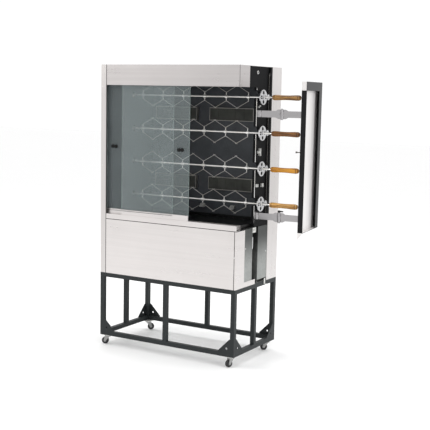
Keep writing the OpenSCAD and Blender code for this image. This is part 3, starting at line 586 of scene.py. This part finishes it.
def standing_on(place, axis):
    """A matrix that puts Z along an axis, with the origin at a place."""
    return Matrix.Translation(place) @ Vector(axis).to_track_quat("Z", "Y").to_matrix().to_4x4()


print("bench ready")

# %% [markdown]
# ## Caster wheels
# A caster wheel is a hard rubber tyre moulded round a grey plastic centre. The tyre's section is
# drawn once, as half of a rounded tread with a step down to the centre, and spun round the axle.
# The wheel is replaced whole, since its tread is round-shouldered, and a plain disc is not.

# %% Caster wheels
mm = 0.001
corners = {"fl": "front_left", "fr": "front_right", "bl": "back_left", "br": "back_right"}
for corner, word in corners.items():
    joint = record_joints["roll_" + word]
    at_axle = standing_on(joint["pos_m"], joint["axis"])
    body = "wheel_" + word
    tyre = bmesh.new()
    turn_profile(tyre, [(18*mm, -9.6*mm), (22.6*mm, -9.6*mm), (24.5*mm, -8*mm), (25*mm, -4.5*mm),
                        (25*mm, 4.5*mm), (24.5*mm, 8*mm), (22.6*mm, 9.6*mm), (18*mm, 9.6*mm)], 56, at_axle)
    tread = finish_part(tyre, "caster_tyre_" + corner, wheel_rubber, body)
    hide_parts("caster_wheel_" + corner)
    centre = bmesh.new()
    turn_profile(centre, [(4.05*mm, -9.9*mm), (8*mm, -9.9*mm), (8.6*mm, -9.2*mm), (9*mm, -5*mm),
                          (16*mm, -4.2*mm), (17.2*mm, -8.8*mm), (17.98*mm, -8.8*mm), (17.98*mm, 8.8*mm),
                          (17.2*mm, 8.8*mm), (16*mm, 4.2*mm), (9*mm, 5*mm), (8.6*mm, 9.2*mm),
                          (8*mm, 9.9*mm), (4.05*mm, 9.9*mm)], 40, at_axle)
    finish_part(centre, "caster_centre_" + corner, grey_plastic, body)
print("four wheels turned")

# %% [markdown]
# ## Turned handles
# A handle is shaped on a lathe: two swellings with a waist between, and a rounded end. In CAD its
# outline is straight pieces, which would catch the light as bands. Here the same outline is spun
# coarsely and then subdivided, which rounds it as sandpaper does. A steel ferrule stops the wood
# from splitting where the rod enters.

# %% Turned handles
handle_shape = [(0.36, 0.0), (0.72, 0.0), (0.80, 0.012), (0.91, 0.03), (0.985, 0.075), (1.0, 0.13),
                (0.965, 0.21), (0.89, 0.32), (0.85, 0.44), (0.85, 0.55), (0.885, 0.67), (0.965, 0.79),
                (1.0, 0.87), (0.985, 0.925), (0.90, 0.968), (0.70, 0.993), (0.36, 1.0)]
for number, wood in enumerate(woods, 1):
    name = "handle_%d" % number
    low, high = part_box(name)
    radius = (high[2] - low[2])/2
    length = high[0] - low[0]
    start = Vector((low[0], (low[1] + high[1])/2, (low[2] + high[2])/2))
    grip = bmesh.new()
    outline = [(r*radius, a*length) for r, a in handle_shape]
    turn_profile(grip, outline, 24, standing_on(start, (1, 0, 0)), closed=False)
    rims = [e for e in grip.edges if e.is_boundary]
    bmesh.ops.holes_fill(grip, edges=rims, sides=0)
    ends = [f for f in grip.faces if len(f.verts) > 4]
    bmesh.ops.inset_region(grip, faces=ends, thickness=0.001)
    turned = finish_part(grip, "turned_handle_%d" % number, wood, "spit_%d" % number, 0, 2)
    turned.data.shade_smooth()
    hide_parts(name)
    collar = bmesh.new()
    turn_profile(collar, [(6.3*mm, -7*mm), (9*mm, -7*mm), (10.5*mm, -6*mm), (11.2*mm, -3*mm),
                          (11.6*mm, 0.4*mm), (6.3*mm, 0.4*mm)], 32, standing_on(start, (1, 0, 0)))
    finish_part(collar, "handle_ferrule_%d" % number, chrome_plate, "spit_%d" % number)
print("handles turned")

# %% [markdown]
# ## Drive chain
# A small roller chain runs from the motor in the hood down past all four rollers and round the
# idler. Every link is the same: two side plates and a roller between them, with wider plates on
# every second link. One link is shaped and copied along the loop. There are hundreds, so each
# has only a few dozen faces.

# %% Drive chain
low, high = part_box("drive_chain")
strand = 15.5*mm
half = (high[1] - low[1])/2
mid_x, mid_y = (low[0] + high[0])/2, (low[1] + high[1])/2
z_low, z_high = low[2] + half, high[2] - half
straight = z_high - z_low
around = math.pi*strand
loop = 2*straight + 2*around
link_count = 2*round(loop/0.0061/2)
pitch = loop/link_count


def on_loop(way):
    """Place (y, z) and heading of a point that far along the loop."""
    way %= loop
    if way < straight:
        return mid_y - strand, z_low + way, 0.0
    way -= straight
    if way < around:
        turned = way/strand
        return mid_y - strand*math.cos(turned), z_high + strand*math.sin(turned), turned
    way -= around
    if way < straight:
        return mid_y + strand, z_high - way, math.pi
    turned = (way - straight)/strand
    return mid_y + strand*math.cos(turned), z_low - strand*math.sin(turned), math.pi + turned


def chain_link(bm, way, wide):
    y, z, heading = on_loop(way)
    across = 2.6*mm if wide else 1.9*mm
    place = Matrix.Translation((mid_x, y, z)) @ Matrix.Rotation(-heading, 4, "X")
    for side in (-1, 1):
        plate = bmesh.ops.create_cube(bm, size=1)["verts"]
        bmesh.ops.scale(bm, vec=(0.7*mm, 3.4*mm, pitch*1.55), verts=plate)
        bmesh.ops.transform(bm, matrix=place @ Matrix.Translation((side*across, 0, 0)), verts=plate)
    roller = bmesh.ops.create_cone(bm, cap_ends=True, segments=8, radius1=1.5*mm, radius2=1.5*mm,
                                   depth=3.4*mm)["verts"]
    seat = Matrix.Translation((0, 0, pitch/2)) @ Matrix.Rotation(math.pi/2, 4, "Y")
    bmesh.ops.transform(bm, matrix=place @ seat, verts=roller)


chain = bmesh.new()
for number in range(link_count):
    chain_link(chain, number*pitch, number % 2)
links = finish_part(chain, "chain_links", oiled_steel, "cabinet", 40)
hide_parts("drive_chain")
print("chain of", link_count, "links, pitch", round(pitch*1000, 2), "mm")

# %% [markdown]
# ## Sprocket teeth
# The sprockets are plain discs in CAD, ending just inside the chain. A ring of short teeth is
# added to each: one tooth is a cube drawn in at its tip, copied round the rim. Their tips stop
# short of the chain's rollers, so that the wheels can be turned while the chain's loop stays.

# %% Sprocket teeth
def tooth_ring(name, body, centre, rim, tip, count):
    bm = bmesh.new()
    for k in range(count):
        tooth = bmesh.ops.create_cube(bm, size=1)
        corners_of = tooth["verts"]
        bmesh.ops.scale(bm, vec=(2.6*mm, 2*math.pi*rim/count*0.52, tip - rim + 0.4*mm), verts=corners_of)
        outer = [v for v in corners_of if v.co.z > 0]
        bmesh.ops.scale(bm, vec=(0.7, 0.45, 1), verts=outer)
        lift = Matrix.Translation((0, 0, (tip + rim)/2 - 0.2*mm))
        spin = Matrix.Rotation(math.tau*k/count, 4, "X")
        bmesh.ops.transform(bm, matrix=Matrix.Translation(centre) @ spin @ lift, verts=corners_of)
    return finish_part(bm, name, disc_steel, body, 0)


for body, joint in (("motor_sprocket", "motor_spin"), ("chain_idler", "idler_spin")):
    _, y, z = record_joints[joint]["pos_m"]
    tooth_ring(body + "_teeth", body, (mid_x, y, z), 12.5*mm, 13.7*mm, 16)
for number in range(1, 5):
    _, y, z = record_joints["roller_%d_spin" % number]["pos_m"]
    tooth_ring("roller_teeth_%d" % number, "drive_roller_%d" % number, (mid_x, y, z),
               19.5*mm, 20.7*mm, 24)
print("teeth cut")

# %% [markdown]
# ## Knobs and edges of the panes
# Each pane is slid by a pair of knobs. The CAD knobs are plain discs, and black domed caps are
# pressed over them here. A pane's upright edges are ground, and light that travels inside the
# glass comes out there, so they read as thin lines of a slightly different grey-green.

# %% Pane details
knob_inset, knob_spread, knob_up = 66*mm, 13*mm, 486*mm
knob_face = 11.5*mm


def knob_caps(name, body, pane, from_left):
    low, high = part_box(pane)
    middle = low[0] + knob_inset if from_left else high[0] - knob_inset
    face_y = (low[1] + high[1])/2 - knob_face
    bm = bmesh.new()
    for side in (-1, 1):
        cap = bmesh.new()
        place = standing_on((middle + side*knob_spread, face_y, low[2] + knob_up), (0, -1, 0))
        turn_profile(cap, [(11.05*mm, -8.4*mm), (12*mm, -8.4*mm), (12.2*mm, -6*mm), (12*mm, -1*mm),
                           (11*mm, 0.6*mm), (8*mm, 1.4*mm), (7*mm, 0.9*mm), (0.4*mm, 0.9*mm),
                           (0.4*mm, 0.02*mm), (11.05*mm, 0.02*mm)], 32, place)
        spare = bpy.data.meshes.new("cap")
        cap.to_mesh(spare)
        cap.free()
        bm.from_mesh(spare)
        bpy.data.meshes.remove(spare)
    return finish_part(bm, name, black_plastic_and_painted_shade, body)


def pane_edges(name, body, pane):
    low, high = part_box(pane)
    bm = bmesh.new()
    for x in (low[0], high[0]):
        strip = bmesh.ops.create_cube(bm, size=1)["verts"]
        bmesh.ops.scale(bm, vec=(1.6*mm, high[1] - low[1] + 0.2*mm, high[2] - low[2] - 60*mm),
                        verts=strip)
        bmesh.ops.translate(bm, vec=(x, (low[1] + high[1])/2, (low[2] + high[2])/2 + 14*mm), verts=strip)
    bmesh.ops.bevel(bm, geom=bm.edges[:], offset=0.5*mm, offset_type="OFFSET", segments=2, profile=0.5,
                    affect="EDGES", material=-1)
    return finish_part(bm, name, glass_edge, body)


knob_caps("rear_pane_knobs", "rear_pane", "pane_rear", True)
knob_caps("front_pane_knobs", "front_pane", "pane_front", False)
pane_edges("rear_pane_edges", "rear_pane", "pane_rear")
pane_edges("front_pane_edges", "front_pane", "pane_front")
print("panes finished")

# %% [markdown]
# ## Screws
# Sheet parts are held by pan-head screws. The head is a shallow dome with a rim, and a dark cross
# of painted shade stands for the shadow in its recess. They go along the back panel, the left side
# and the top, where such an oven is opened for service.

# %% Screws
def pan_head(bm_head, bm_recess_shade, place, facing, size=4.2*mm):
    turned = standing_on(place, facing)
    head = bmesh.ops.create_cone(bm_head, cap_ends=True, segments=16, radius1=size, radius2=size*0.62,
                                 depth=2.2*mm)["verts"]
    bmesh.ops.transform(bm_head, matrix=turned @ Matrix.Translation((0, 0, 1.1*mm)), verts=head)
    for angle in (0, math.pi/2):
        bar = bmesh.ops.create_cube(bm_recess_shade, size=1)["verts"]
        bmesh.ops.scale(bm_recess_shade, vec=(size*0.95, size*0.2, 0.5*mm), verts=bar)
        laid = Matrix.Rotation(angle + 0.4, 4, "Z") @ Matrix.Translation((0, 0, 2.05*mm))
        bmesh.ops.transform(bm_recess_shade, matrix=turned @ laid, verts=bar)


heads, recess_shade_crosses = bmesh.new(), bmesh.new()
low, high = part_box("rear_casing")
for k in range(8):
    z = low[2] + 60*mm + k*(high[2] - low[2] - 120*mm)/7
    for x in (low[0] + 14*mm, high[0] - 14*mm):
        pan_head(heads, recess_shade_crosses, (x, high[1], z), (0, 1, 0))
for k in range(5):
    x = low[0] + 180*mm + k*(high[0] - low[0] - 360*mm)/4
    for z in (low[2] + 14*mm, high[2] - 14*mm):
        pan_head(heads, recess_shade_crosses, (x, high[1], z), (0, 1, 0))
low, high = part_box("left_casing")
for k in range(7):
    z = low[2] + 45*mm + k*(high[2] - low[2] - 90*mm)/6
    for y in (low[1] + 16*mm, high[1] - 16*mm):
        pan_head(heads, recess_shade_crosses, (low[0], y, z), (-1, 0, 0))
low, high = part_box("top_cover")
for k in range(5):
    x = low[0] + 60*mm + k*(high[0] - low[0] - 120*mm)/4
    for y in (low[1] + 16*mm, high[1] - 16*mm):
        pan_head(heads, recess_shade_crosses, (x, y, high[2]), (0, 0, 1))
finish_part(heads, "casing_screws", zinc_small, "cabinet")
finish_part(recess_shade_crosses, "screw_recesses", black_plastic_and_painted_shade, "cabinet", 0)
print("casing screwed together")

# %% [markdown]
# ## Bare edge of the drive plate
# The plate is painted after it is cut, but spits laid in and out of the notches have rubbed its
# front edge bright. A thin bar is laid on that edge between one notch and the next. A stamped
# ring rims the round hole at the top of the plate.

# %% Bright plate edge
plate_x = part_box("drive_chain")[0][0] - 5*mm
plate_thick = 3*mm
plate_front = -48*mm
rod_room, flank_rise = 6.5*mm, 47*mm
axes = sorted(record_joints["spit_%d_spin" % n]["pos_m"][2] for n in range(1, 5))
gaps = [z for axis_z in axes for z in (axis_z - rod_room, axis_z + flank_rise)]
stops = [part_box("drip_pan")[1][2]] + gaps + [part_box("hood")[0][2]]
shortest_bar = 4*mm
edges = bmesh.new()
for start, end in zip(stops[0::2], stops[1::2]):
    if end - start < shortest_bar:
        continue
    bar = bmesh.ops.create_cube(edges, size=1)["verts"]
    bmesh.ops.scale(edges, vec=(plate_thick + 0.2*mm, 0.8*mm, end - start), verts=bar)
    bmesh.ops.translate(edges, vec=(plate_x + plate_thick/2, plate_front - 0.3*mm, (start + end)/2),
                        verts=bar)
bmesh.ops.bevel(edges, geom=edges.edges[:], offset=0.2*mm, offset_type="OFFSET", segments=2, profile=0.5,
                affect="EDGES", material=-1)
finish_part(edges, "plate_bare_edge", chrome_plate, "cabinet")
hole_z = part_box("top_cover")[1][2] - 42*mm
eyelet = bmesh.new()
turn_profile(eyelet, [(7.6*mm, -0.4*mm), (7.6*mm, 0.9*mm), (8.6*mm, 1.5*mm), (11*mm, 1.1*mm),
                      (11.6*mm, 0.3*mm), (11.6*mm, 0.02*mm)], 32,
             standing_on((plate_x + plate_thick, plate_front + 5*mm, hole_z), (1, 0, 0)))
finish_part(eyelet, "plate_eyelet", chrome_plate, "cabinet")
print("plate edge rubbed bright")

# %% [markdown]
# ## Seams
# Where two sheets meet there is a shadow gap. Long thin black bars with softened edges, standing a
# hair proud of the sheet, paint that shadow as painted shade and give the line its width.

# %% Seams
low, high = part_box("hood")
front, side, post_x = low[1], high[0], low[0]
base_low, base_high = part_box("base_front_panel")
sill_z = base_high[2]
gap_line_width = 4.2*mm
proud, sunk = 0.5*mm, 0.4*mm
corner_bend, return_depth = 14*mm, 118*mm
bend_x = side - corner_bend
track_low, track_high = sill_z + 62*mm, sill_z + 64*mm
# Each run is a black bar of painted shade: the shadow in a joint, and one along the pane track under the
# panes.
runs = [((post_x - gap_line_width, front - proud, base_low[2]), (post_x, front + sunk, high[2])),
        ((post_x, front - proud, sill_z - gap_line_width), (side, front + sunk, sill_z)),
        ((side - 1.4*mm, front - proud, low[2]), (side + proud, front + 1.4*mm, high[2])),
        ((bend_x, front - proud, base_low[2]), (bend_x + gap_line_width, front + sunk, sill_z)),
        ((side - sunk, front, sill_z - gap_line_width), (side + proud, base_low[1] + return_depth, sill_z)),
        ((post_x + 8*mm, front - proud, track_low), (side - 500*mm, front + sunk, track_high))]
shadow_gap_bars = bmesh.new()
for start, end in runs:
    bar = bmesh.ops.create_cube(shadow_gap_bars, size=1)["verts"]
    bmesh.ops.scale(shadow_gap_bars, vec=[b - a for a, b in zip(start, end)], verts=bar)
    bmesh.ops.translate(shadow_gap_bars, vec=[(a + b)/2 for a, b in zip(start, end)], verts=bar)
bmesh.ops.bevel(shadow_gap_bars, geom=shadow_gap_bars.edges[:], offset=0.2*mm, offset_type="OFFSET", segments=2, profile=0.5,
                affect="EDGES", material=-1)
finish_part(shadow_gap_bars, "sheet_seams", black_plastic_and_painted_shade, "cabinet")
print("seams sealed")

# %% [markdown]
# ## Floor
# One big pale sheet under the casters, a shade off white so that the stand's feet show where they
# rest. It isn't part of the oven.

# %% Floor
ground = bmesh.new()
bmesh.ops.create_grid(ground, x_segments=2, y_segments=2, size=30)
floor_mesh = bpy.data.meshes.new("floor")
ground.to_mesh(floor_mesh)
ground.free()
paper = Finish("pale paper")
paper_tone = paper.blend(paper.noise(1.5, 3.0, 0.5), (0.94, 0.94, 0.94), (0.96, 0.96, 0.96))
floor_mesh.materials.append(paper.skin(color=paper_tone, rough=0.75))
floor = bpy.data.objects.new("floor", floor_mesh)
bpy.context.collection.objects.link(floor)
print("floor laid")

# %% End
print("scene built")
